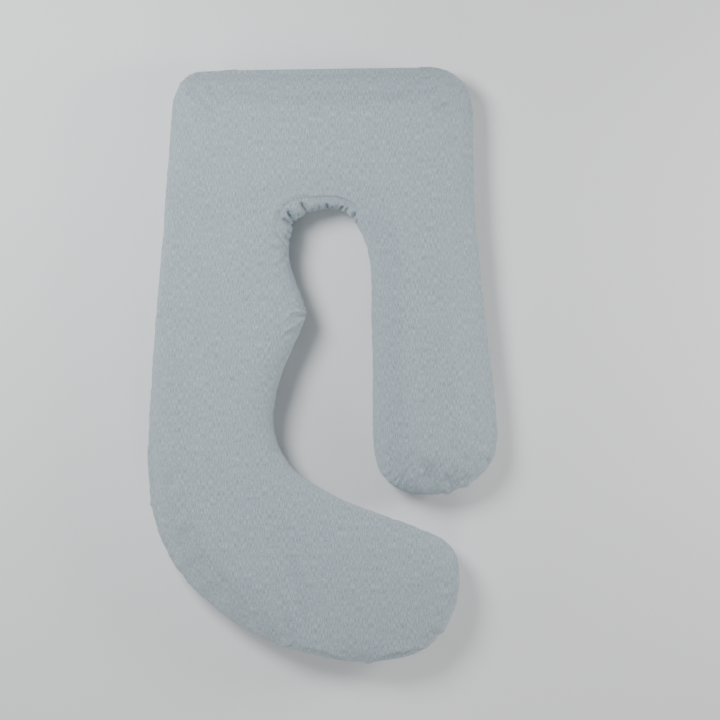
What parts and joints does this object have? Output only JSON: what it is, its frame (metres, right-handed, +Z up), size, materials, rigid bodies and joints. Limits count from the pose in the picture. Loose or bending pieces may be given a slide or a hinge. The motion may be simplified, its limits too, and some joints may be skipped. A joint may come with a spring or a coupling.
{
  "type": "nursing pillow",
  "caption": "Full-length nursing and pregnancy pillow, hook-shaped, with a square head, a neck arch and a curled foot, in a zipped knitted cover.",
  "frame": {"origin": "under the middle of the whole outline, on the surface that the pillow lies on", "axes": "+Z up through the thickness, +Y to the head edge, +X to the short leg"},
  "size_m": [0.826, 1.4, 0.13],
  "materials": {
    "knit": "heathered jersey",
    "liner_cloth": "plain non-woven",
    "fibre": "loose polyester fibre",
    "zip_tape": "woven tape",
    "coil": "nylon coil",
    "zip_metal": "satin nickel",
    "label": "satin ribbon, blank"
  },
  "bodies": {
    "pillow": {"cover_top_panel": "knit", "cover_bottom_panel": "knit", "liner_top_panel": "liner_cloth", "liner_bottom_panel": "liner_cloth", "fibre_fill": "fibre", "zip_tape_upper": "zip_tape", "zip_tape_lower": "zip_tape", "zip_coil_upper": "coil", "zip_coil_lower": "coil", "zip_top_stop_upper": "zip_metal", "zip_top_stop_lower": "zip_metal", "zip_bottom_stop": "zip_metal", "care_label": "label"},
    "slider": {"zip_slider_body": "zip_metal"},
    "pull": {"zip_pull_tab": "zip_metal"}
  },
  "joints": [
    {"name": "zip_slide", "type": "slide", "parent": "pillow", "child": "slider", "axis": [0.9999, 0.0148, 0], "range_m": [0, 0.4274]},
    {"name": "pull_swing", "type": "hinge", "parent": "slider", "child": "pull", "pos_m": [-0.22672, 0.69358, 0.065], "axis": [0, 0, 1], "range_deg": [0, 180]}
  ]
}
